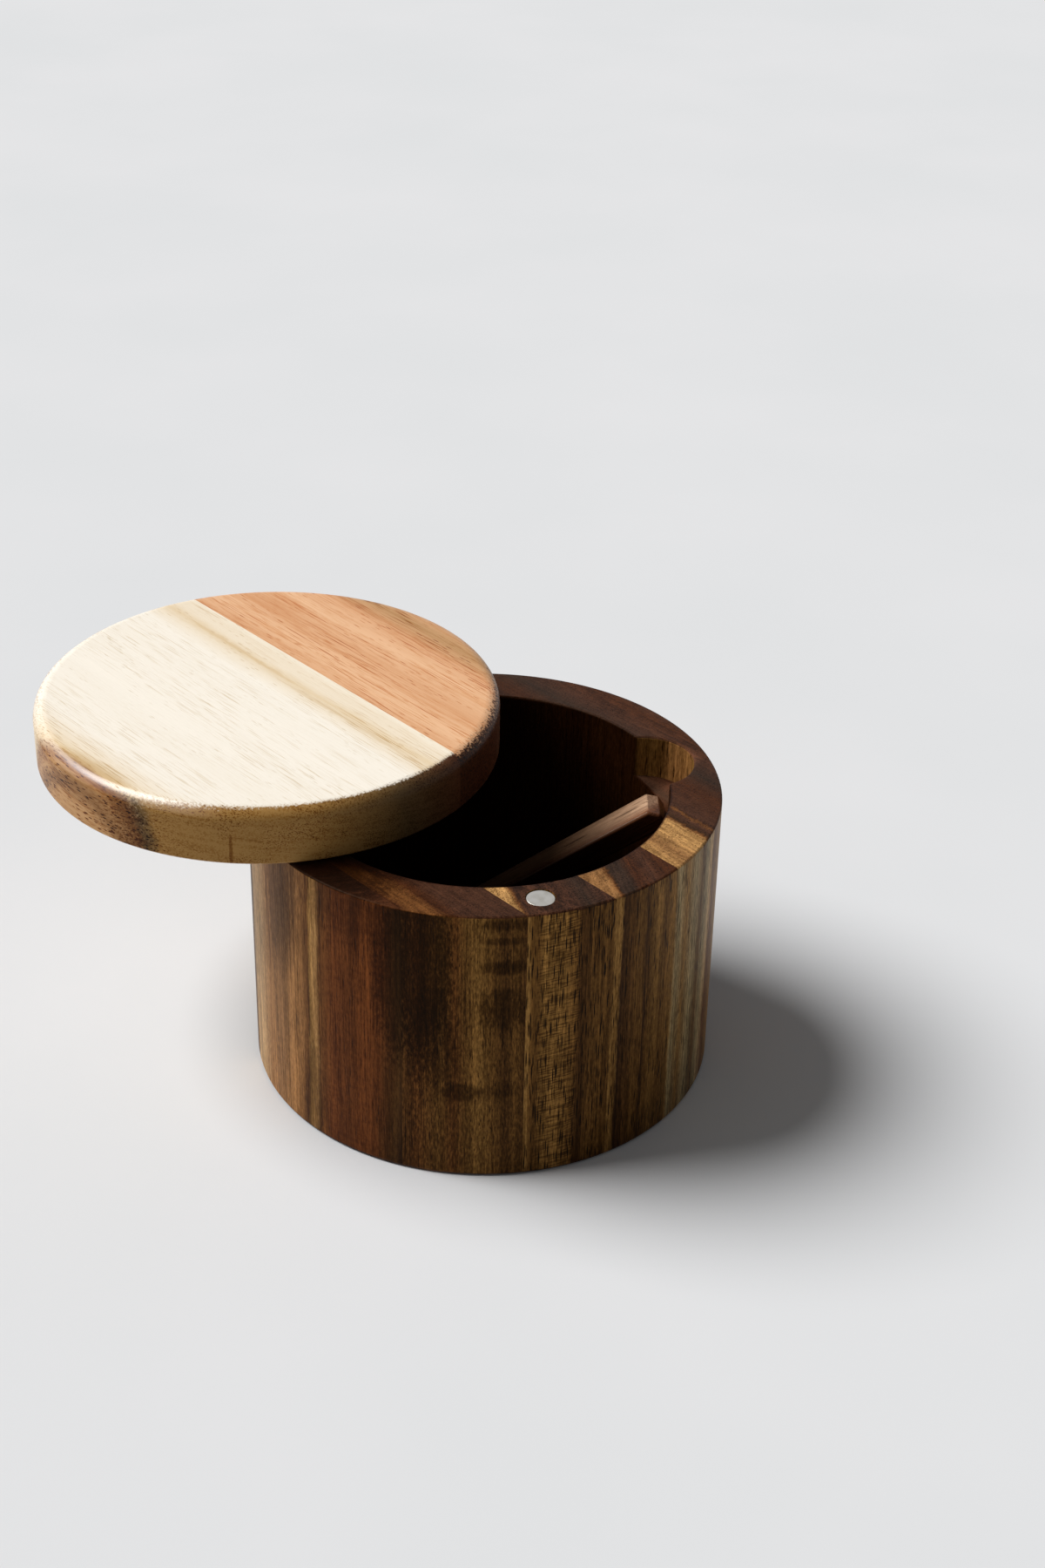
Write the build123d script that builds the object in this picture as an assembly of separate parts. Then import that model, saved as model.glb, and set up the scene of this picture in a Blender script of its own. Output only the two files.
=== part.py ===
from build123d import *
import os
from math import cos, hypot, radians, sin

# Round wooden salt box: a bored block of glued upright staves, a two-board lid that swivels
# on a blind pin, and a small spoon. Millimetres, +Z up. The origin is the centre of the
# underside, the lid's pivot is on +Y and the catch magnet opposite it on -Y. The lid is
# swung open to the left and the spoon leans in the hollow with its tip at the notch.

# Body, turned and bored from one glued block
body_radius = 51.0
body_height = 65.7
bore_radius = 39.8
floor_thickness = 11.0
floor_cove = 4.0
rim_easing = 0.5
foot_easing = 1.0

# Staves: parallel boards across the block
stave_width = 17.45
stave_heading = 27.4        # direction across the boards, degrees from +X
middle_glue_line = 7.8      # the glue line nearest the body's axis
glue_lines_below = 3
glue_lines_above = 2

# Thumb notch in the rim, bored with the same kind of cutter as a large drill
notch_radius = 10.5
notch_centre = 37.0
notch_heading = 3.0
notch_depth = 10.0
notch_lip_rounding = 1.2

# Lid, closed concentric with the body
lid_radius = 50.7
lid_thickness = 12.6
lid_roundover = 3.0
lid_foot_easing = 0.4
lid_swing = 68.4            # how far the lid stands open
lid_grain_across = 95.3     # direction across the lid's boards when closed
lid_glue_line = 13.4

# Pivot and catch, both at the middle of the wall
pivot_distance = 45.0
pin_radius = 2.5
pin_depth_in_body = 20.0
pin_length_in_lid = 8.4
pin_end_chamfer = 0.5
pin_running_clearance = 0.05
pin_end_clearance = 0.6
washer_radius = 4.5
washer_thickness = 0.6
magnet_radius = 3.0
magnet_thickness = 3.0
magnet_easing = 0.25
magnet_glue_gap = 0.1
magnet_recess = 0.15

# Spoon
bowl_half_length = 13.0
bowl_half_width = 11.0
bowl_depth = 9.5
bowl_wall = 1.8
handle_reach = 71.4         # from the bowl's centre to the tip
handle_start = 9.0
neck_width = 6.0
neck_thickness = 4.8
tip_width = 8.4
tip_thickness = 5.5
handle_rounding = 0.7
tip_top_bevel = 2.0
tip_lower_bevel = 1.2
spoon_slope = 33.5
spoon_heading = -15.0
spoon_seat_x = -21.3
spoon_seat_y = 8.3
spoon_rest_gap = 0.3


def upright(radius, height, base=0.0, x=0.0, y=0.0):
    # an upright cylinder that stands on the height called base
    return Pos(x, y, base + height / 2) * Cylinder(radius, height)


def edges_at(solid, height):
    # the edges that lie in the level plane at this height
    return solid.edges().filter_by_position(Axis.Z, height, height)


def board(low, high, heading, reach, height, base=0.0):
    # a slab between two distances from the axis, measured along the heading
    slab = Pos((low + high) / 2, 0, base + height / 2) * Box(high - low, 2 * reach, height)
    return Rot(0, 0, heading) * slab


def notched_mouth():
    # the hollow's outline down to the notch's ledge: bore and notch with rounded lips
    notch_x = notch_centre * cos(radians(notch_heading))
    notch_y = notch_centre * sin(radians(notch_heading))
    outline = Circle(bore_radius) + Pos(notch_x, notch_y) * Circle(notch_radius)
    outline = fillet(outline.vertices(), notch_lip_rounding)
    return Pos(0, 0, body_height - notch_depth) * extrude(outline, notch_depth)


def bored_block():
    block = upright(body_radius, body_height)
    block = fillet(edges_at(block, body_height), rim_easing)
    block = fillet(edges_at(block, 0), foot_easing)
    bore = upright(bore_radius, body_height - floor_thickness, floor_thickness)
    bore = fillet(edges_at(bore, floor_thickness), floor_cove)
    block = block - bore - notched_mouth()
    block = fillet([e for e in edges_at(block, body_height) if is_inside_rim(e)], rim_easing)
    pin_hole = upright(pin_radius, pin_depth_in_body, body_height - pin_depth_in_body, y=pivot_distance)
    magnet_depth = magnet_thickness + magnet_recess
    magnet_hole = upright(
        magnet_radius + magnet_glue_gap, magnet_depth, body_height - magnet_depth, y=-pivot_distance
    )
    return block - pin_hole - magnet_hole


def is_inside_rim(edge):
    # true for the edges of the hollow's mouth, false for the block's outer edge
    point = edge.position_at(0.5)
    return hypot(point.X, point.Y) < body_radius - 2 * rim_easing


def body_staves():
    block = bored_block()
    first = middle_glue_line - glue_lines_below * stave_width
    glue_lines = [first + i * stave_width for i in range(glue_lines_below + glue_lines_above + 1)]
    limits = [-body_radius] + glue_lines + [body_radius]
    staves = {}
    for i in range(len(limits) - 1):
        slab = board(limits[i], limits[i + 1], stave_heading, body_radius, body_height)
        staves[f"body_stave_{i + 1}"] = block & slab
    return staves


def magnet(x, y, base):
    disc = upright(magnet_radius, magnet_thickness, base, x, y)
    return fillet(disc.edges().filter_by(GeomType.CIRCLE), magnet_easing)


def body_magnet():
    return magnet(0, -pivot_distance, body_height - magnet_recess - magnet_thickness)


def pivot_pin():
    length = pin_depth_in_body + washer_thickness + pin_length_in_lid
    pin = upright(pin_radius, length, body_height - pin_depth_in_body, y=pivot_distance)
    return chamfer(pin.edges().filter_by(GeomType.CIRCLE), pin_end_chamfer)


def pivot_washer():
    ring = upright(washer_radius, washer_thickness, body_height, y=pivot_distance)
    hole = upright(pin_radius + pin_running_clearance, washer_thickness, body_height, y=pivot_distance)
    return ring - hole


lid_base = body_height + washer_thickness
lid_open = Pos(0, pivot_distance, 0) * Rot(0, 0, -lid_swing) * Pos(0, -pivot_distance, 0)


def lid_boards():
    disc = upright(lid_radius, lid_thickness, lid_base)
    disc = fillet(edges_at(disc, lid_base + lid_thickness), lid_roundover)
    disc = fillet(edges_at(disc, lid_base), lid_foot_easing)
    pin_hole = upright(
        pin_radius + pin_running_clearance, pin_length_in_lid + pin_end_clearance, lid_base, y=pivot_distance
    )
    magnet_hole = upright(
        magnet_radius + magnet_glue_gap, magnet_thickness + magnet_recess, lid_base, y=-pivot_distance
    )
    disc = disc - pin_hole - magnet_hole
    front = board(-lid_radius, lid_glue_line, lid_grain_across, lid_radius, lid_thickness, lid_base)
    back = board(lid_glue_line, lid_radius, lid_grain_across, lid_radius, lid_thickness, lid_base)
    return {"lid_board_front": lid_open * (disc & front), "lid_board_back": lid_open * (disc & back)}


def lid_magnet():
    return lid_open * magnet(0, -pivot_distance, lid_base + magnet_recess)


def half_bowl(half_length, half_width, depth):
    # the lower half of an ellipsoid under the plane of the bowl's rim
    ball = scale(Sphere(1), by=(half_length, half_width, depth))
    below = Pos(0, 0, -depth) * Box(4 * half_length, 4 * half_width, 2 * depth)
    return ball & below


def handle():
    # a tapered bar, its top level with the bowl's rim, bevelled at the tip and rounded along its edges
    side_outline = Polyline(
        (handle_start, 0),
        (handle_reach - tip_top_bevel, 0),
        (handle_reach, -tip_top_bevel),
        (handle_reach, tip_lower_bevel - tip_thickness),
        (handle_reach - tip_lower_bevel, -tip_thickness),
        (handle_start, -neck_thickness),
        close=True,
    )
    top_outline = Polyline(
        (handle_start, -neck_width / 2),
        (handle_reach, -tip_width / 2),
        (handle_reach, tip_width / 2),
        (handle_start, neck_width / 2),
        close=True,
    )
    side_cut = extrude(Plane.XZ * make_face(side_outline), tip_width, both=True)
    top_cut = extrude(make_face(top_outline), 2 * tip_thickness, both=True)
    bar = side_cut & top_cut
    return fillet([e for e in bar.edges() if e.center().X > handle_start + 0.1], handle_rounding)


def spoon():
    # modelled with its bowl's centre at the origin and its handle along +X, then laid in place
    outer = half_bowl(bowl_half_length, bowl_half_width, bowl_depth)
    inner = half_bowl(bowl_half_length - bowl_wall, bowl_half_width - bowl_wall, bowl_depth - bowl_wall)
    whole = outer + handle() - inner
    drop = hypot(bowl_half_length * sin(radians(spoon_slope)), bowl_depth * cos(radians(spoon_slope)))
    seat = Pos(spoon_seat_x, spoon_seat_y, floor_thickness + spoon_rest_gap + drop)
    return seat * Rot(0, 0, spoon_heading) * Rot(0, -spoon_slope, 0) * whole


nodes = body_staves()
nodes["body_magnet"] = body_magnet()
nodes["pivot_pin"] = pivot_pin()
nodes["pivot_washer"] = pivot_washer()
nodes.update(lid_boards())
nodes["lid_magnet"] = lid_magnet()
nodes["spoon"] = spoon()

os.makedirs("parts", exist_ok=True)
for name, solid in nodes.items():
    solid.label = name
    export_step(solid, f"parts/{name}.step")
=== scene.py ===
import math

import bpy
from mathutils import Matrix, Vector

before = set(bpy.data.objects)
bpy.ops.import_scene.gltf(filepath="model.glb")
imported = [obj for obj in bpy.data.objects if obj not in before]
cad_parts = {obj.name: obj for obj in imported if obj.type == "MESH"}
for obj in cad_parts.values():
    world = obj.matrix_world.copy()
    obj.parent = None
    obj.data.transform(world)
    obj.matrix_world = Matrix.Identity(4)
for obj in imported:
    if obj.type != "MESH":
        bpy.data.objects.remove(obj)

bpy.context.view_layer.update()
mmPerMetre = 1000


def tint(red, green, blue):      # a screen colour, 0 to 255, as the linear colour that Blender wants
    parts = [c / 255 for c in (red, green, blue)]
    parts = [c / 12.92 if c <= 0.04045 else ((c + 0.055) / 1.055) ** 2.4 for c in parts]
    return (*parts, 1.0)


class Wire:              # one shader socket, so that sums read as sums
    def __init__(self, tree, socket=None):
        self.tree = tree
        self.socket = socket

    # any node: its type, its settings, which are set first, then the values or links of its sockets
    def node(self, kind, settings=None, sockets=None, out=0):
        made = self.tree.nodes.new(kind)
        for key, value in (settings or {}).items():
            if key == "stops":
                setStops(made.color_ramp, value)
            else:
                setattr(made, key, value)
        for key, value in (sockets or {}).items():
            if isinstance(value, Wire):
                self.tree.links.new(value.socket, made.inputs[key])
            else:
                made.inputs[key].default_value = value
        return Wire(self.tree, made.outputs[out] if len(made.outputs) else None)

    def math(self, operation, *values):
        return self.node("ShaderNodeMath", {"operation": operation}, dict(enumerate(values)))

    def __add__(self, other):
        return self.math("ADD", self, other)

    __radd__ = __add__

    def __sub__(self, other):
        return self.math("SUBTRACT", self, other)

    def __rsub__(self, other):
        return self.math("SUBTRACT", other, self)

    def __mul__(self, other):
        return self.math("MULTIPLY", self, other)

    __rmul__ = __mul__

    def __truediv__(self, other):
        return self.math("DIVIDE", self, other)

    def __abs__(self):
        return self.math("ABSOLUTE", self)

    def most(self, other):
        return self.math("MAXIMUM", self, other)

    def fading(self):            # 1 at 0, falling off by e for each unit
        return self.math("EXPONENT", self * -1.0)

    def dot(self, direction):    # the part of a vector along a direction
        return self.node("ShaderNodeVectorMath", {"operation": "DOT_PRODUCT"},
                         {0: self, 1: direction}, out="Value")

    def between(self, low, high):    # 0 at low, 1 at high, eased, and reversed where low is the larger
        return self.node("ShaderNodeMapRange", {"interpolation_type": "SMOOTHSTEP"},
                         {"Value": self, "From Min": low, "From Max": high}, out="Result")

    def blend(self, low, high):      # a colour from low to high as this value goes from 0 to 1
        return self.node("ShaderNodeMix", {"data_type": "RGBA"},
                         {0: self, 6: low, 7: high}, out=2)


def setStops(ramp, stops):       # stops are (place, colour), in rising order
    while len(ramp.elements) > 1:
        ramp.elements.remove(ramp.elements[-1])
    ramp.elements[0].position, ramp.elements[0].color = stops[0]
    for place, colour in stops[1:]:
        ramp.elements.new(place).color = colour


def newMaterial(name):
    material = bpy.data.materials.new(name)
    material.use_nodes = True
    material.node_tree.nodes.clear()
    return material, Wire(material.node_tree)


def finishShader(start, sockets):
    shader = start.node("ShaderNodeBsdfPrincipled", {}, sockets)
    start.node("ShaderNodeOutputMaterial", {}, {"Surface": shader})


# finished acacia, oiled: screen colours under plain light
acacia = {
    "russet": tint(104, 56, 24),
    "russetDark": tint(90, 48, 20),
    "chestnut": tint(98, 60, 27),
    "smoke": tint(52, 31, 15),
    "olive": tint(100, 68, 31),
    "bark": tint(78, 50, 22),
    "curlyGold": tint(128, 92, 46),
    "wheat": tint(142, 104, 55),
    "honey": tint(173, 130, 79),
    "amber": tint(140, 99, 59),
    "fawn": tint(162, 114, 66),
    # oat: partly the wood's pale tone, partly painted sheen, the bright reflection on grazing edges
    "oatAndSheen": tint(184, 146, 100),
    "sage": tint(151, 130, 92),
    "plum": tint(65, 39, 26),
    "blueBrown": tint(48, 33, 24),
    "brick": tint(66, 34, 15),
    "ember": tint(106, 66, 33),
    "cream": tint(250, 241, 226),
    "ivory": tint(247, 234, 212),
    "straw": tint(242, 226, 201),
    "driftwood": tint(231, 208, 172),
    "peach": tint(235, 187, 145),
    "salmon": tint(223, 169, 125),
    "copper": tint(190, 146, 99),
    "moss": tint(162, 122, 67),
    "mossDark": tint(96, 74, 46),
    "umber": tint(86, 48, 28),
    # the spoon's two rosewood tones are partly the wood's own, partly painted light: the lit top face paler,
    # the shaded side darker
    "rosewoodAndTopLight": tint(190, 153, 122),
    "rosewoodDarkAndSideShade": tint(118, 72, 42),
}

# The layers of the grain are noise. Each has the mm of its cell across, through and along the board, a turn
# that keeps it apart from the others, and, where it needs them, the detail and the roughness of the noise.
grainLayers = {
    "drift": {"cell": (18, 18, 80), "turn": 3},
    "wobble": {"cell": (4, 4, 30), "turn": 11, "detail": 3.0},
    "ragged": {"cell": (0.9, 0.9, 5), "turn": 17, "detail": 3.0, "rough": 0.6},
    "fray": {"cell": (0.5, 0.5, 0.5), "turn": 73},
    "fibre": {"cell": (0.5, 0.5, 16), "turn": 23, "detail": 4.0, "rough": 0.6},
    "fuzz": {"cell": (0.35, 0.35, 1.4), "turn": 27, "detail": 3.0, "rough": 0.6},
    "soft": {"cell": (2.4, 2.4, 45), "turn": 29, "detail": 3.0},
    "dust": {"cell": (0.45, 0.45, 0.45), "turn": 31},
    "dashes": {"cell": (3, 3, 22), "turn": 47},
    "waves": {"cell": (7, 7, 5), "turn": 53},
}
# These say where marks of a kind gather: 0 up to the first value of "from", and 1 past the second.
gatherings = {
    "pores": {"cell": (5, 5, 26), "turn": 41, "from": (-0.5, 0.5)},
    "torn": {"cell": (0.4, 0.4, 0.9), "turn": 51, "from": (-1.0, 0.0)},
    "bars": {"cell": (2.5, 2.5, 4), "turn": 59, "from": (-0.9, 0.2)},
    "veins": {"cell": (7, 7, 40), "turn": 71, "from": (-0.6, 0.5)},
    "ticks": {"cell": (2.0, 2.0, 8), "turn": 89, "from": (-0.8, 0.5)},
    "streaks": {"cell": (0.5, 0.6, 14), "turn": 97, "detail": 3.0, "rough": 0.6, "from": (0.0, 0.9)},
}
# Open marks stand one in each cell, full up to the first distance from its middle and gone by the second.
openMarks = {
    "pores": {"turn": 37, "full": 0.06, "gone": 0.24},
    "dashes": {"turn": 43, "full": 0.1},
    "ticks": {"cell": (0.55, 0.55, 2.6), "turn": 83, "full": 0.14, "gone": 0.32},
}
veinLook = {"turn": 67, "rough": 0.6, "from": (0.1, 0.55)}
patchLook = {"cell": (1.3, 1.3, 3), "turn": 61, "detail": 4.0, "rough": 0.7, "rim": (1.9, 0.1)}
curlLook = {"weave": (0.44, 0.62), "middle": 0.4}
curlFades = (1.1, 0.7)       # where a band of marks is gone and where it is full, in reaches from its middle
columnFades = (1.0, 0.5)
scattered = 0.25         # how full the pores are away from where they gather
# painted highlight: the eased edges that face partly along the grain are made paler
highlitEdgeFacing = {"from": (0.1, 0.45), "to": (0.97, 0.75)}      # how squarely it faces along the grain
roundedEdge = {"from": (0.2, 0.5), "to": (0.985, 0.92)}      # and how squarely up
endCalm = 0.6            # how much fainter fibres and dashes are on the end grain
palestMark = -0.6        # the lowest that the marks may come to, paler than the wood's own colour
quarterTurn = 1.57
dulling = {"pores": 0.2, "ends": 0.08, "fibre": 0.04}        # what each adds to the roughness
relief = {"fibre": 0.2, "fuzz": 0.1, "dust": 0.3, "strength": 0.5, "pore": 0.08}     # a pore's depth is in mm


class Board:
    # One board's wood. It is solid: a colour depends on the place in mm across the board, u, through it, v,
    # and along its grain, g. The long faces and the end grain have bands of colour of their own.
    def __init__(self, name, look):
        self.look = look
        self.material, self.start = newMaterial(name)
        place = self.start.node("ShaderNodeTexCoord", out="Object")
        self.facing = self.start.node("ShaderNodeTexCoord", out="Normal")
        across, through, self.grain = [Vector(axis).normalized() for axis in look["axes"]]
        self.u = place.dot(across * mmPerMetre)
        self.v = place.dot(through * mmPerMetre)
        self.g = place.dot(self.grain * mmPerMetre)
        self.place = self.point(self.u, self.v, self.g)
        self.findRings()
        self.findEnds()
        finishShader(self.start, self.finish())

    def point(self, x, y, z):
        return self.start.node("ShaderNodeCombineXYZ", {}, {"X": x, "Y": y, "Z": z})

    def noise(self, where, detail, rough=0.5):
        return self.start.node("ShaderNodeTexNoise", {},
                               {"Vector": where, "Scale": 1.0, "Detail": detail, "Roughness": rough})

    def spread(self, cell, turn):    # the place measured in cells of the given mm
        seed = self.look["seed"]
        return self.start.node("ShaderNodeVectorMath", {"operation": "MULTIPLY_ADD"},
                               {0: self.place, 1: [1 / size for size in cell],
                                2: (seed + turn, seed * 1.7 - turn, seed * 0.6)})

    def cloud(self, cell, turn, detail=2.0, rough=0.5):      # noise, about -1 to 1
        return (self.noise(self.spread(cell, turn), detail, rough) - 0.5) * 3

    def layer(self, name):
        return self.cloud(**grainLayers[name])

    def gathering(self, name):
        shape = dict(gatherings[name])
        low, high = shape.pop("from")
        return self.cloud(**shape).between(low, high)

    def specks(self, cell, turn, full, gone):
        cells = self.start.node("ShaderNodeTexVoronoi", {}, {"Vector": self.spread(cell, turn), "Scale": 1.0})
        return cells.between(gone, full)

    def zones(self, where, bands):   # bands are (place in mm, name of a colour)
        low, high = bands[0][0], bands[-1][0]
        stops = [((mm - low) / (high - low), acacia[colour]) for mm, colour in bands]
        return self.start.node("ShaderNodeValToRGB", {"stops": stops}, {"Fac": (where - low) / (high - low)})

    def turned(self, heading):       # the place in mm along a heading across the grain
        return self.u * math.cos(heading) + self.v * math.sin(heading)

    def near(self, band, fades):     # 1 beside the middle of a band of marks, 0 away from it
        middle, reach = band
        gone, full = fades
        return abs(self.ring - middle).between(reach * gone, reach * full)

    def pool(self, first, second, patch):    # 0 away from a place, rising to the patch's depth at its middle
        firstOff = (first - patch["at"][0]) / patch["reach"][0]
        secondOff = (second - patch["at"][1]) / patch["reach"][1]
        fuzz = self.cloud(patch.get("cell", patchLook["cell"]), patchLook["turn"] + patch["at"][1],
                          patchLook["detail"], patchLook["rough"]) * patch["fuzz"]
        off = firstOff * firstOff + secondOff * secondOff + fuzz
        return off.between(*patchLook["rim"]) * patch["depth"]

    def findRings(self):     # where the place lies across the bands, on the long faces and on the ends
        look = self.look
        drift = self.layer("drift") * look["drift"]
        self.wobble = self.layer("wobble") * look["wobble"]
        ragged = self.layer("ragged") * look["ragged"]
        farSide = self.v.between(*look["farFrom"]) * look["farShift"] if look["farShift"] else 0.0
        upright = self.turned(look["heading"]) - (self.g - look["leanFrom"]) * look["lean"]
        self.ring = upright + drift + self.wobble + ragged + farSide
        endBent = self.turned(look["endHeading"]) + self.wobble * look["endWobble"]
        self.endRing = endBent + ragged * look["endRagged"] + farSide

    def findEnds(self):      # onEnd is 1 on the end grain, and inBore is 1 inside the bore
        look = self.look
        towards = self.facing.dot(self.grain)        # below 0 on the near ends, above 0 on the far ones
        self.square = (towards * look["farEnd"]).most(towards * -1.0)
        self.onEnd = (self.square + self.layer("fray") * look["endFray"]).between(*look["endFrom"])
        if look.get("bore"):
            outer, inner = look["bore"]["radii"]
            self.inBore = (self.u * self.u + self.v * self.v).between(outer ** 2, inner ** 2)

    def ownColour(self):
        look = self.look
        sides = self.zones(self.ring, look["sideBands"])
        ends = self.zones(self.endRing, look["endBands"])
        colour = self.onEnd.blend(sides, ends)
        if look.get("bore"):         # painted shade inside the bore: the wood there turns towards umber
            colour = (self.inBore * look["bore"]["umber"]).blend(colour, acacia["umber"])
        return colour

    def fineGrain(self):     # fibres, growth rings and dust, and painted shade towards the foot
        look = self.look
        self.fibre = self.layer("fibre")
        self.fuzz = self.layer("fuzz")
        self.dust = self.layer("dust") * self.onEnd
        across, around, along = look["growthCell"]
        rings = self.point(self.turned(look["growthHeading"]) / across + self.wobble,
                           self.turned(look["growthHeading"] + quarterTurn) / around, self.g / along)
        growth = (self.noise(rings, 3.0) - 0.5) * (self.onEnd + 1) * look["growth"]
        calm = 1 - self.onEnd * endCalm
        marks = (self.fibre * look["fibre"] + self.fuzz * look["fuzz"]) * calm
        marks = marks + self.layer("soft") * look["soft"] + growth + self.dust * look["dust"]
        # painted shade, darker towards the foot along the grain
        return marks + self.g.between(*look["footFrom"]) * look["footShade"]

    def openGrain(self):     # pores, open dashes and veins
        look = self.look
        gathered = self.gathering("pores") * (1 - scattered) + scattered
        self.pores = self.specks(look["poreCell"], **openMarks["pores"]) * gathered
        zone = self.layer("dashes").between(*look["dashFrom"])
        if look.get("column"):       # a row of open pores beside a glue line
            zone = zone.most(self.near(look["column"], columnFades))
        whole = self.specks(look["dashCell"], gone=look["dashWide"], **openMarks["dashes"])
        self.dashes = whole * zone * self.gathering("torn") * (1 - self.onEnd * endCalm)
        veins = self.cloud(look["veinCell"], veinLook["turn"], rough=veinLook["rough"])
        return veins.between(*veinLook["from"]) * self.gathering("veins")

    def heartwood(self):     # the heartwood corner: open black pores and dark streaks along the grain
        knots = self.look["knots"]
        ticks = self.specks(**openMarks["ticks"]) * self.gathering("ticks")
        streaks = self.gathering("streaks") * knots["streak"]
        return self.ring.between(*knots["band"]) * (ticks + streaks) * knots["depth"]

    def curl(self):          # fine bars across the grain, where the fibres wave
        curl = self.look["curl"]
        lift = (self.g + self.layer("waves") * curl["arch"] + self.u * curl["lean"]) / curl["pitch"]
        weft = self.noise(self.point(self.u / curl["width"], self.v / curl["width"], lift), 2.0)
        bars = (weft.between(*curlLook["weave"]) - curlLook["middle"]) * self.gathering("bars")
        return bars * self.near(curl["span"], curlFades) * curl["depth"]

    def darkness(self):      # what darkens the wood's own colour: 0 leaves it alone, 1 is a deep mark
        look = self.look
        marks = self.fineGrain()
        veins = self.openGrain()
        marks = marks + self.pores * look["pore"] + self.dashes * look["dash"] + veins * look["veins"]
        if look.get("knots"):
            marks = marks + self.heartwood()
        if look.get("curl"):
            marks = marks + self.curl()
        for patch in look.get("patches", []):        # soft dark clouds on the long faces
            marks = marks + self.pool(self.ring, self.g, patch) * (1 - self.onEnd)
        for patch in look.get("endPatches", []):     # and on the end grain
            marks = marks + self.pool(self.u, self.v, patch) * self.onEnd
        # painted shade: darker inside the bore
        if look.get("bore"):
            marks = marks + self.inBore * look["bore"]["depth"]
        edge = self.square.between(*highlitEdgeFacing["from"]) * self.square.between(*highlitEdgeFacing["to"])
        return (marks - edge * look["edgeHighlight"]).most(palestMark)        # painted highlight: the eased edges are paler

    def polished(self):      # a rounded top edge, burnished by the hand
        polish = self.look["polish"]
        upward = abs(self.facing.dot((0, 0, 1)))
        rounded = upward.between(*roundedEdge["from"]) * upward.between(*roundedEdge["to"])
        held = self.ring.between(*polish["band"]) * polish["weight"]
        return {"Coat Weight": rounded * held * (1 - self.pores), "Coat Roughness": polish["roughness"],
                "Coat IOR": polish["ior"]}

    def finish(self):
        look = self.look
        own = self.ownColour()
        marks = self.darkness()
        richer = self.start.node("ShaderNodeGamma", {},
                                 {"Color": own, "Gamma": 1 + marks.most(0.0) * look["warm"]})
        colour = self.start.node("ShaderNodeVectorMath", {"operation": "SCALE"},
                                 {0: richer, "Scale": (marks * look["deep"]).fading()})
        roughness = look["roughness"] + self.pores * dulling["pores"] + self.onEnd * dulling["ends"]
        roughness = roughness + self.fibre * dulling["fibre"]
        height = self.fibre * relief["fibre"] + self.fuzz * relief["fuzz"] - self.pores - self.dashes
        height = height + self.dust * relief["dust"]
        bump = self.start.node("ShaderNodeBump", {},
                               {"Strength": relief["strength"], "Distance": relief["pore"] / mmPerMetre,
                                "Height": height})
        sockets = {"Base Color": colour, "Roughness": roughness, "Normal": bump,
                   "Specular IOR Level": look["gloss"], "Specular Tint": look["sheen"]}
        if look.get("polish"):
            sockets.update(self.polished())
        return sockets


def putOn(piece, material):
    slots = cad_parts[piece].data.materials
    slots.clear()
    slots.append(material)


def dress(pieces, common):
    for piece, look in pieces.items():
        putOn(piece, Board(piece + "_acacia", {**common, **look}).material)


# What each setting does, with lengths in mm and angles in radians:
# heading, endHeading and growthHeading turn the bands of the long faces, of the ends, and the growth rings;
# farShift is how far the bands move between the places of farFrom, through the board;
# lean tilts the bands of the long faces along the grain, and leaves them in place at leanFrom;
# drift, wobble and ragged bend those bands, from broadly to finely, and endWobble and endRagged are how much
# of the last two bends the ends;
# fibre, fuzz, soft, dust, growth, pore, veins and dash are the depths of the marks;
# the foot depth is painted shade: it darkens the wood from the first place of footFrom to the second, along
# the grain;
# endFrom and endFray are where end grain begins and how frayed its border is, and farEnd is how fully the
# far ends count as end grain; warm and deep are how much the marks enrich and darken the wood's own colour.

# the seven staves: across the block, along the glue lines, and up the grain
staveHeading = math.radians(27.4)
staveAxes = [(math.cos(staveHeading), math.sin(staveHeading), 0),
             (-math.sin(staveHeading), math.cos(staveHeading), 0),
             (0, 0, 1)]
staveCommon = {
    "axes": staveAxes, "heading": 0.0, "endHeading": 0.0, "growthHeading": 0.0,
    # the foot depth here is painted shade, darker towards the bottom of the staves
    "farShift": 0.0, "farFrom": (-20, 20), "lean": 0.0, "leanFrom": 40, "footShade": 0.15, "footFrom": (46, 0),
    "drift": 0.7, "wobble": 0.45, "ragged": 0.45, "endWobble": 1.0, "endRagged": 1.4,
    "fibre": 0.34, "fuzz": 0.36, "soft": 0.2, "dust": 0.15, "growth": 0.5, "growthCell": (0.8, 12, 60),
    "pore": 0.8, "poreCell": (0.85, 0.85, 8), "veins": 0.5, "veinCell": (0.26, 0.26, 26),
    "dash": 1.3, "dashCell": (0.55, 0.55, 7), "dashFrom": (-0.5, 0.4), "dashWide": 0.3,
    # the edge setting here paints a highlight, paler on the eased edges
    "farEnd": 1.0, "endFrom": (0.2, 0.5), "endFray": 0.05, "edgeHighlight": 0.06,
    # painted shade inside the bore: towards umber, and darker
    "bore": {"radii": (40.5, 39.8), "umber": 0.8, "depth": 0.9},
    "warm": 0.35, "deep": 1.6, "roughness": 0.42, "gloss": 0.07, "sheen": (1.0, 0.62, 0.34, 1.0),
}
# the rim's darker end grain by the lid: partly the wood's own dark red, partly painted shadow of the lid
rimDarkAndLidShadow = {"at": (-44, -4), "reach": (10, 13), "depth": 0.75, "fuzz": 0.5}
ledgeLight = {"at": (40, -18.4), "reach": (4.6, 4.6), "depth": -0.6, "fuzz": 0.2}      # painted light: paler, in the notch
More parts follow.
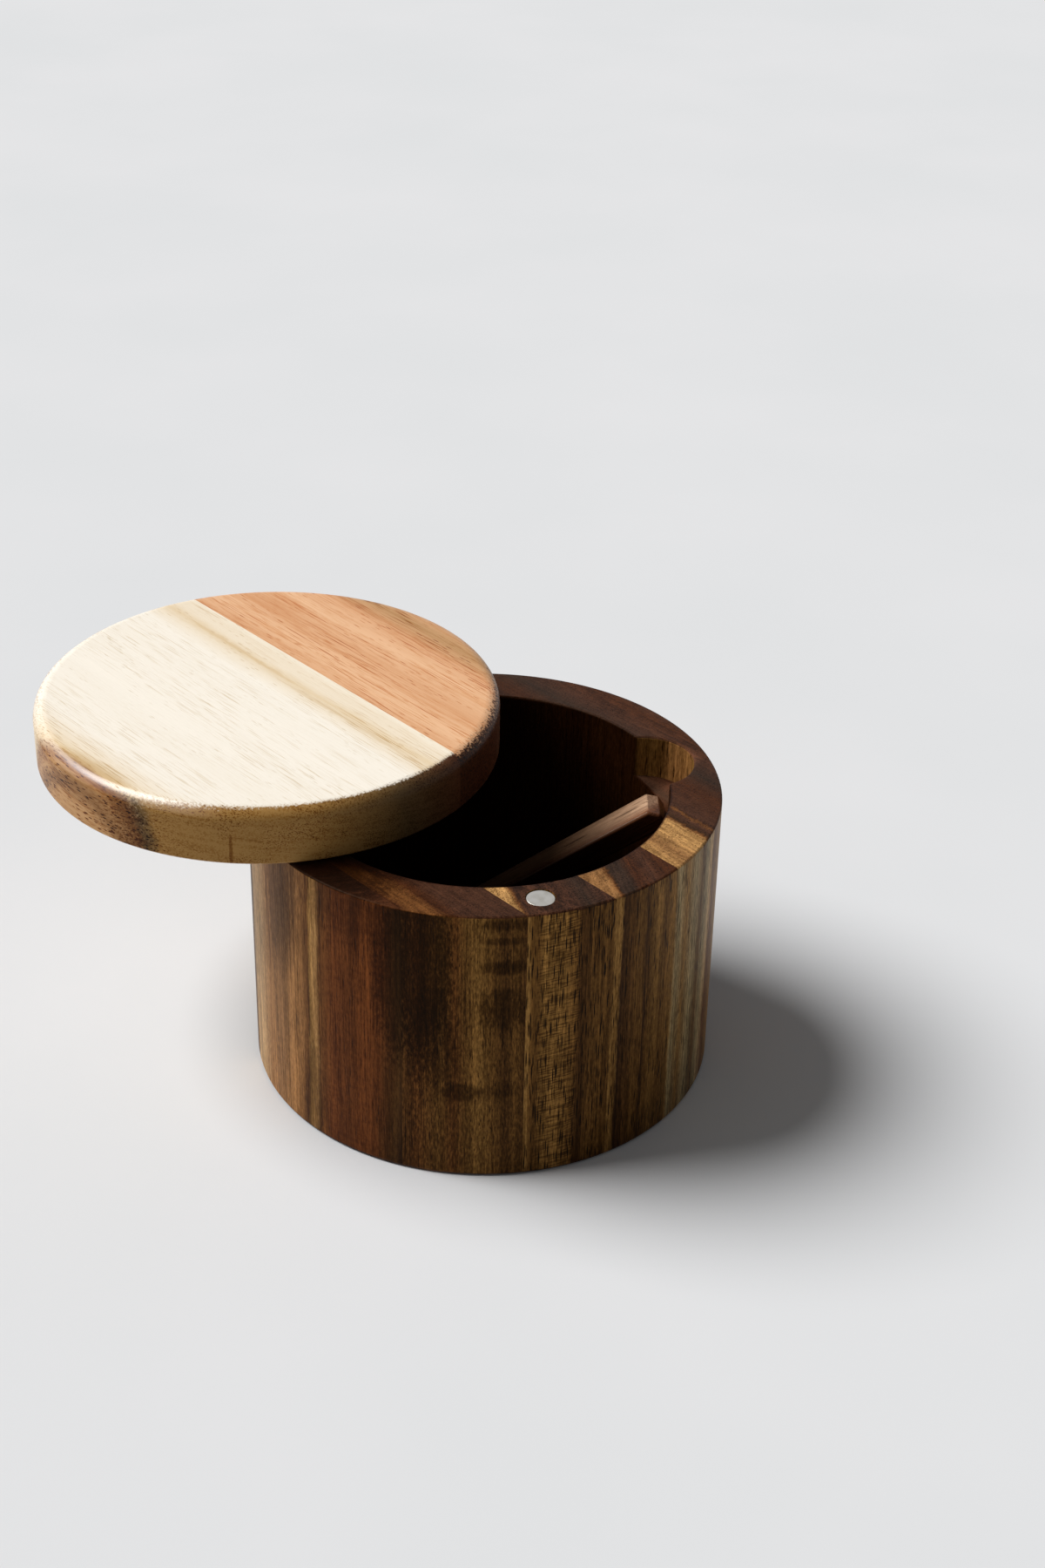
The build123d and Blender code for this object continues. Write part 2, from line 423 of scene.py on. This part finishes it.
staves = {
    "body_stave_1": {
        "seed": 4.1, "heading": math.radians(90), "endHeading": math.radians(60),
        "growthHeading": math.radians(60), "lean": -0.035,
        "wobble": 0.8, "fibre": 0.28, "fuzz": 0.3, "pore": 0.4, "dash": 0.5, "footShade": 0.06,
        # the pale oat bands at the far left edge are partly the wood's tone, partly painted sheen
        "sideBands": [(-26, "smoke"), (-24.2, "bark"), (-20.5, "russetDark"), (-17, "russet"),
                      (-14, "russetDark"), (-10, "russet"), (-6.2, "chestnut"), (-5.0, "honey"),
                      (-3.3, "wheat"), (-2.4, "chestnut"), (1.5, "fawn"), (8, "amber"), (13, "fawn"),
                      (18, "oatAndSheen"), (27, "oatAndSheen"), (31, "russet")],
        "endBands": [(-45, "brick"), (-30, "plum"), (-20, "brick")],
        "patches": [
            {"at": (7, 62), "reach": (6, 22), "depth": 0.4, "fuzz": 0.6},
            {"at": (-25.4, 50), "reach": (5.5, 20), "depth": 0.55, "fuzz": 1.1, "cell": (0.9, 0.9, 1.6)},
            {"at": (-13, 70), "reach": (14, 14), "depth": 0.3, "fuzz": 0.5},
            {"at": (-4.2, 8), "reach": (2.4, 14), "depth": 0.35, "fuzz": 0.5},
        ],
        "endPatches": [rimDarkAndLidShadow],
        "curl": {"pitch": 1.2, "width": 5.0, "arch": 1.0, "lean": 0.0, "span": (-15, 9), "depth": 0.08},
    },
    "body_stave_2": {
        "seed": 9.7, "farShift": 12.0, "fibre": 0.3, "fuzz": 0.6, "pore": 0.9, "poreCell": (0.5, 0.5, 2.2),
        "dash": 0.7,
        "sideBands": [(-44.6, "bark"), (-42.8, "chestnut"), (-40.0, "olive"), (-38.0, "chestnut"),
                      (-36.4, "olive"), (-34.4, "curlyGold"), (-32.2, "olive"), (-30.2, "bark"),
                      (-28.2, "olive"), (-27.1, "bark")],
        "endBands": [(-44.6, "brick"), (-42.8, "ember"), (-40.6, "ember"), (-38.6, "brick"),
                     (-36.0, "plum"), (-27.1, "plum")],
        "patches": [
            {"at": (-42.4, 54), "reach": (3.4, 22), "depth": 0.75, "fuzz": 1.2, "cell": (0.9, 0.9, 1.6)},
            {"at": (-41.0, 34), "reach": (3.0, 12), "depth": 0.4, "fuzz": 1.2, "cell": (0.9, 0.9, 1.6)},
            {"at": (-30.2, 63.8), "reach": (3.8, 1.2), "depth": 0.35, "fuzz": 0.4},
            {"at": (-30.2, 59.9), "reach": (3.8, 0.8), "depth": 0.3, "fuzz": 0.4},
            {"at": (-30.0, 53.5), "reach": (3.8, 1.6), "depth": 0.5, "fuzz": 0.4},
            {"at": (-30.2, 43.4), "reach": (3.8, 5.0), "depth": 0.45, "fuzz": 0.9, "cell": (0.7, 0.7, 2.2)},
            {"at": (-36.8, 21.9), "reach": (2.6, 2.2), "depth": 0.45, "fuzz": 0.6},
            {"at": (-31.0, 22.5), "reach": (3.0, 1.6), "depth": 0.25, "fuzz": 0.6},
        ],
        "endPatches": [rimDarkAndLidShadow],
    },
    "body_stave_3": {
        "seed": 15.3, "endHeading": math.radians(-22.9), "growthHeading": math.radians(-22.9),
        "farShift": -14.0, "fibre": 0.4, "dash": 2.8, "pore": 0.9, "wobble": 0.2, "ragged": 0.25,
        "dashCell": (0.42, 0.42, 6), "dashFrom": (-1.1, -0.4), "dashWide": 0.38,
        "sideBands": [(-27.1, "wheat"), (-26.75, "wheat"), (-26.4, "olive"), (-25.0, "olive"),
                      (-24.2, "curlyGold"), (-21.0, "curlyGold"), (-17.8, "olive"), (-17.0, "bark"),
                      (-15.8, "bark"), (-14.0, "olive"), (-12.0, "olive"), (-9.6, "olive")],
        "endBands": [(-20, "plum"), (-13.8, "ember"), (-12.6, "honey"), (-9.3, "honey"), (-8.5, "ember"),
                     (-7.8, "plum"), (2, "plum"), (5, "blueBrown"), (9, "plum")],
        "curl": {"pitch": 0.36, "width": 4.5, "arch": 0.3, "lean": -0.12, "span": (-21.1, 4.4), "depth": 0.5},
        "column": (-25.2, 0.6),
    },
    "body_stave_4": {
        "seed": 22.9, "endHeading": math.radians(-24.6), "growthHeading": math.radians(-24.6),
        # painted shade: this stave darker towards its foot
        "farShift": -20.0, "footShade": 0.25,
        "fibre": 0.4, "dash": 1.9, "pore": 0.9,
        "dashCell": (0.5, 0.5, 7), "dashFrom": (-0.7, 0.2), "dashWide": 0.32,
        "sideBands": [(-9.6, "olive"), (-9.0, "wheat"), (-7.8, "wheat"), (-7.1, "smoke"), (-5.6, "bark"),
                      (-4.4, "bark"), (-3.2, "olive"), (-1.5, "olive"), (-0.8, "smoke"), (0.0, "olive"),
                      (2.5, "curlyGold"), (5.0, "olive"), (7.8, "curlyGold")],
        "endBands": [(-10, "plum"), (6.6, "plum"), (7.4, "amber"), (12.8, "amber"), (13.6, "ember"),
                     (14.4, "blueBrown"), (17.0, "blueBrown"), (19.0, "brick"), (22.0, "plum"),
                     (25.0, "brick")],
    },
    "body_stave_5": {
        "seed": 31.2, "farShift": 26.0, "fibre": 0.4, "dash": 2.0, "pore": 0.9, "dashCell": (0.5, 0.5, 7),
        # the pale oat band at the right edge is partly the wood's tone, partly painted sheen
        "sideBands": [(7.8, "curlyGold"), (9.0, "sage"), (12.0, "wheat"), (15.5, "sage"), (19.0, "olive"),
                      (21.4, "sage"), (24.4, "oatAndSheen"), (25.3, "chestnut"), (40, "bark")],
        "endBands": [(7.8, "honey"), (12, "amber"), (16, "honey"), (19.6, "honey"), (20.5, "ember"),
                     (21.2, "smoke"), (23.0, "plum"), (23.8, "ember"), (24.6, "plum"), (25.3, "plum")],
    },
    "body_stave_6": {
        "seed": 38.8, "fibre": 0.2, "soft": 0.12, "dash": 0.7, "pore": 0.5, "growth": 0.25,
        "sideBands": [(25.2, "chestnut"), (30, "wheat"), (36, "fawn"), (39, "wheat"), (42.8, "curlyGold")],
        "endBands": [(25.2, "plum"), (33, "brick"), (38, "blueBrown"), (42.8, "plum")],
        "endPatches": [ledgeLight],
    },
    "body_stave_7": {
        "seed": 44.5,
        "sideBands": [(42.6, "olive"), (44.5, "fawn"), (46.5, "amber"), (48.5, "bark"), (51, "russet")],
        "endBands": [(42.6, "plum"), (48, "brick"), (51, "plum")],
        "endPatches": [ledgeLight],
    },
}
dress(staves, staveCommon)
print("staves dressed:", len(staves))

# the lid: its boards lie flat, with the grain along the glue line
lidHeading = math.radians(26.9)
lidAxes = [(math.cos(lidHeading), math.sin(lidHeading), 0),
           (0, 0, 1),
           (-math.sin(lidHeading), math.cos(lidHeading), 0)]
lidCommon = {
    "axes": lidAxes, "heading": 0.0, "endHeading": 0.0, "growthHeading": math.radians(82),
    "farShift": 0.0, "lean": 0.0, "leanFrom": 0, "footShade": 0.0, "footFrom": (46, 0),
    "drift": 0.9, "wobble": 0.5, "ragged": 0.5, "endWobble": 1.0, "endRagged": 1.0,
    "fuzz": 0.05, "growth": 0.2, "growthCell": (0.8, 12, 60),
    "poreCell": (0.75, 0.75, 9), "veinCell": (0.26, 0.26, 12), "dashFrom": (-0.3, 0.5), "dashWide": 0.24,
    "farEnd": 1.0, "endFrom": (0.14, 0.46), "endFray": 0.18, "edgeHighlight": 0.0,
    "warm": 1.6, "deep": 0.3, "roughness": 0.32, "gloss": 0.1, "sheen": (1.0, 0.9, 0.8, 1.0),
}
lidBoards = {
    "lid_board_front": {
        "seed": 52.6, "heading": math.radians(15), "endHeading": math.radians(5),
        "fibre": 0.05, "soft": 0.05, "dust": 0.18, "pore": 0.12, "dash": 0.6, "veins": 0.65,
        "dashCell": (0.45, 0.45, 5),
        "sideBands": [(-58, "copper"), (-54.4, "copper"), (-53.4, "amber"), (-52.2, "copper"),
                      (-51.0, "fawn"), (-49.0, "driftwood"), (-46.0, "straw"), (-41, "cream"),
                      (-3, "cream"), (0.8, "straw"), (3.0, "driftwood"), (5.4, "straw"), (8.2, "straw"),
                      (9.2, "ivory"), (10.2, "ivory")],
        # the end grain darkens to mossDark and umber towards the glue line: partly the wood's own colour,
        # partly painted shade on the side turned from the light
        "endBands": [(-73, "copper"), (-69, "copper"), (-67, "amber"), (-65.4, "ember"),
                     (-64.4, "mossDark"), (-63.2, "moss"), (-40, "moss"), (-21, "mossDark"),
                     (-3, "umber")],
        "patches": [
            {"at": (3.0, 62), "reach": (0.6, 20), "depth": 0.12, "fuzz": 0.6, "cell": (0.5, 0.5, 14)},
            {"at": (1.4, 26), "reach": (0.5, 22), "depth": 0.18, "fuzz": 0.6, "cell": (0.5, 0.5, 14)},
            {"at": (-49.4, 36), "reach": (2.8, 14), "depth": 0.35, "fuzz": 0.7, "cell": (0.6, 0.6, 5)},
        ],
        "endPatches": [
            {"at": (-60.6, 69.5), "reach": (0.25, 3.5), "depth": 0.35, "fuzz": 0.8, "cell": (0.5, 0.5, 1)},
        ],
        "knots": {"band": (-48.0, -51.5), "depth": 1.5, "streak": 0.3},
        "polish": {"band": (-38, -45), "weight": 1.0, "roughness": 0.4, "ior": 1.75},
        # farEnd below 1 keeps the back-left far ends in the pale side colours: painted light, where strong
        # light and sheen pale that rim
        "endFrom": (0.12, 0.4), "farEnd": 0.42,
    },
    "lid_board_back": {
        "seed": 60.4, "fibre": 0.2, "soft": 0.14, "dust": 0.9, "pore": 0.3, "dash": 0.8, "veins": 0.9,
        "dashCell": (0.6, 0.6, 6),
        "endFrom": (0.3, 0.66), "endFray": 0.45,
        "sideBands": [(-11.2, "salmon"), (-6, "peach"), (2, "salmon"), (8, "peach"), (14, "salmon"),
                      (20, "copper"), (26.4, "salmon")],
        "endBands": [(-11.2, "brick"), (8, "umber"), (26.4, "brick")],
    },
}
dress(lidBoards, lidCommon)
print("lid boards dressed:", len(lidBoards))

# the spoon: its grain runs from the bowl up the handle
spoonLook = {
    "axes": [(0.2588, 0.9659, 0.0), (-0.5331, 0.1428, 0.8339), (0.8055, -0.2158, 0.5519)],
    "heading": math.radians(60), "endHeading": math.radians(60), "growthHeading": math.radians(60),
    # the foot depth here paints the shadow of the lid and rim on the handle, darker towards the bowl
    "farShift": 0.0, "lean": 0.0, "leanFrom": 0, "footShade": 1.2, "footFrom": (67, 40),
    "drift": 0.8, "wobble": 0.3, "ragged": 0.2, "endWobble": 1.0, "endRagged": 1.0,
    "growth": 0.3, "growthCell": (0.8, 12, 60), "veins": 0.5, "veinCell": (0.26, 0.26, 26),
    "poreCell": (0.9, 0.9, 9), "dashCell": (1.8, 1.8, 18), "dashFrom": (-0.5, 0.4), "dashWide": 0.24,
    "farEnd": 1.0, "endFrom": (0.55, 0.85), "endFray": 0.05, "edgeHighlight": 0.0,
    "warm": 0.35, "deep": 1.3, "roughness": 0.36, "gloss": 0.2, "sheen": (1.0, 0.75, 0.55, 1.0),
    "seed": 71.9, "fibre": 0.3, "fuzz": 0.2, "soft": 0.3, "dust": 0.2, "pore": 0.6, "dash": 0.8,
    # the bands run across the handle: pale rosewood on the lit top face, dark rosewood and umber on the
    # shaded side, partly the wood's tones and partly painted light and shade
    "sideBands": [(14, "umber"), (25.2, "umber"), (26.2, "rosewoodDarkAndSideShade"), (27.6, "rosewoodAndTopLight"),
                  (34, "rosewoodAndTopLight")],
    "endBands": [(14, "umber"), (27, "umber"), (34, "rosewoodDarkAndSideShade")],
}
putOn("spoon", Board("spoon_acacia", spoonLook).material)
print("spoon dressed")


metalWear = {            # shared by both metals
    "touched": (0.35, 0.65), "touchDull": 0.15, "scratchDull": 0.25, "scratchStrength": 0.25,
    "scratchDeep": 0.01,     # mm
}


def metalMaterial(name, look):
    # plated or drawn steel: fine scratches, and cloudy patches where fingers touch
    material, start = newMaterial(name)
    place = start.node("ShaderNodeTexCoord", out="Object")
    drawn = start.node("ShaderNodeVectorMath", {"operation": "MULTIPLY"}, {0: place, 1: look["scratchCells"]})
    scratches = start.node("ShaderNodeTexNoise", {}, {"Vector": drawn, "Scale": 1.0, "Detail": 3.0})
    clouds = start.node("ShaderNodeTexNoise", {},
                        {"Vector": place, "Scale": look["touchCells"], "Detail": 3.0})
    colour = clouds.between(*metalWear["touched"]).blend(look["dull"], look["bright"])
    scratched = (scratches - 0.5) * metalWear["scratchDull"]
    roughness = look["roughness"] + scratched + (clouds - 0.5) * metalWear["touchDull"]
    bump = start.node("ShaderNodeBump", {},
                      {"Strength": metalWear["scratchStrength"],
                       "Distance": metalWear["scratchDeep"] / mmPerMetre, "Height": scratches})
    finishShader(start, {"Base Color": colour, "Metallic": 1.0, "Roughness": roughness, "Normal": bump})
    return material


# the cells are counted in each metre
magnetLook = {"dull": tint(178, 174, 165), "bright": tint(190, 187, 180), "roughness": 0.34,
              "scratchCells": (900, 5200, 900), "touchCells": 500.0}
steelLook = {"dull": tint(170, 170, 170), "bright": tint(196, 196, 198), "roughness": 0.28,
             "scratchCells": (2600, 2600, 9000), "touchCells": 500.0}
plating = metalMaterial("magnet_nickel", magnetLook)
steel = metalMaterial("pivot_steel", steelLook)
for piece in ("body_magnet", "lid_magnet"):
    putOn(piece, plating)
for piece in ("pivot_pin", "pivot_washer"):
    putOn(piece, steel)
print("metal dressed")

stageLook = {
    "floorSize": 24.0, "floorCells": 9.0, "floorRoughness": 0.9,
    "floorColour": tint(227, 227, 228), "floorShade": tint(223, 224, 225),
    "skyLight": 0.13, "skyColour": (0.97, 0.985, 1.0, 1.0), "backdrop": tint(228, 229, 232),
    "windowStrength": 3.66, "windowSpread": 34.0, "windowTurn": 153.0, "windowRise": 50.0,
}


def makeFloor(look):
    half = look["floorSize"] / 2
    mesh = bpy.data.meshes.new("floor")
    corners = [(-half, -half, 0), (half, -half, 0), (half, half, 0), (-half, half, 0)]
    mesh.from_pydata(corners, [], [(0, 1, 2, 3)])
    floor = bpy.data.objects.new("floor", mesh)
    bpy.context.scene.collection.objects.link(floor)
    material, start = newMaterial("pale_floor")
    place = start.node("ShaderNodeTexCoord", out="Object")
    grains = start.node("ShaderNodeTexNoise", {},
                        {"Vector": place, "Scale": look["floorCells"], "Detail": 3.0})
    colour = grains.between(0.2, 0.8).blend(look["floorShade"], look["floorColour"])
    finishShader(start, {"Base Color": colour, "Roughness": look["floorRoughness"],
                         "Specular IOR Level": 0.0})
    mesh.materials.append(material)


def makeSky(look):       # soft white light from all round; lenses and mirrors see the backdrop's own tone
    world = bpy.data.worlds.new("studio")
    bpy.context.scene.world = world
    world.use_nodes = True
    world.node_tree.nodes.clear()
    start = Wire(world.node_tree)
    camera = start.node("ShaderNodeLightPath", out="Is Camera Ray")
    glossy = start.node("ShaderNodeLightPath", out="Is Glossy Ray")
    through = start.node("ShaderNodeLightPath", out="Is Transmission Ray")
    light = start.node("ShaderNodeBackground", {}, {"Color": look["skyColour"], "Strength": look["skyLight"]})
    seen = start.node("ShaderNodeBackground", {}, {"Color": look["backdrop"], "Strength": 1.0})
    shown = start.node("ShaderNodeMixShader", {}, {0: camera.most(glossy).most(through), 1: light, 2: seen})
    start.node("ShaderNodeOutputWorld", {}, {"Surface": shown})


def makeWindow(look):    # broad even daylight from the back left
    turn, rise = math.radians(look["windowTurn"]), math.radians(look["windowRise"])
    back = Vector((math.cos(turn) * math.cos(rise), math.sin(turn) * math.cos(rise), math.sin(rise)))
    light = bpy.data.lights.new("window", "SUN")
    light.energy = look["windowStrength"]
    light.angle = math.radians(look["windowSpread"])
    lamp = bpy.data.objects.new("window", light)
    lamp.location = back
    lamp.rotation_euler = back.to_track_quat("Z", "Y").to_euler()
    bpy.context.scene.collection.objects.link(lamp)


cameraLook = {
    "place": (-0.1109, -0.4257, 0.3286),
    "right": (0.96575, -0.25878, 0.01888), "up": (0.11701, 0.49931, 0.85849),
    "ahead": (0.23159, 0.82688, -0.51249),
    "lens": 54.67, "sensor": 36.0, "nearest": 0.01,
}


def makeCamera(look):
    data = bpy.data.cameras.new("camera")
    data.lens = look["lens"]
    data.sensor_width = look["sensor"]
    data.clip_start = look["nearest"]
    camera = bpy.data.objects.new("camera", data)
    axes = Matrix((look["right"], look["up"], [-c for c in look["ahead"]])).transposed()
    camera.matrix_world = Matrix.Translation(look["place"]) @ axes.to_4x4()
    bpy.context.scene.collection.objects.link(camera)
    bpy.context.scene.camera = camera


makeFloor(stageLook)
makeSky(stageLook)
makeWindow(stageLook)
makeCamera(cameraLook)
bpy.context.scene.view_settings.view_transform = "Standard"
print("stage set")

bpy.context.view_layer.update()
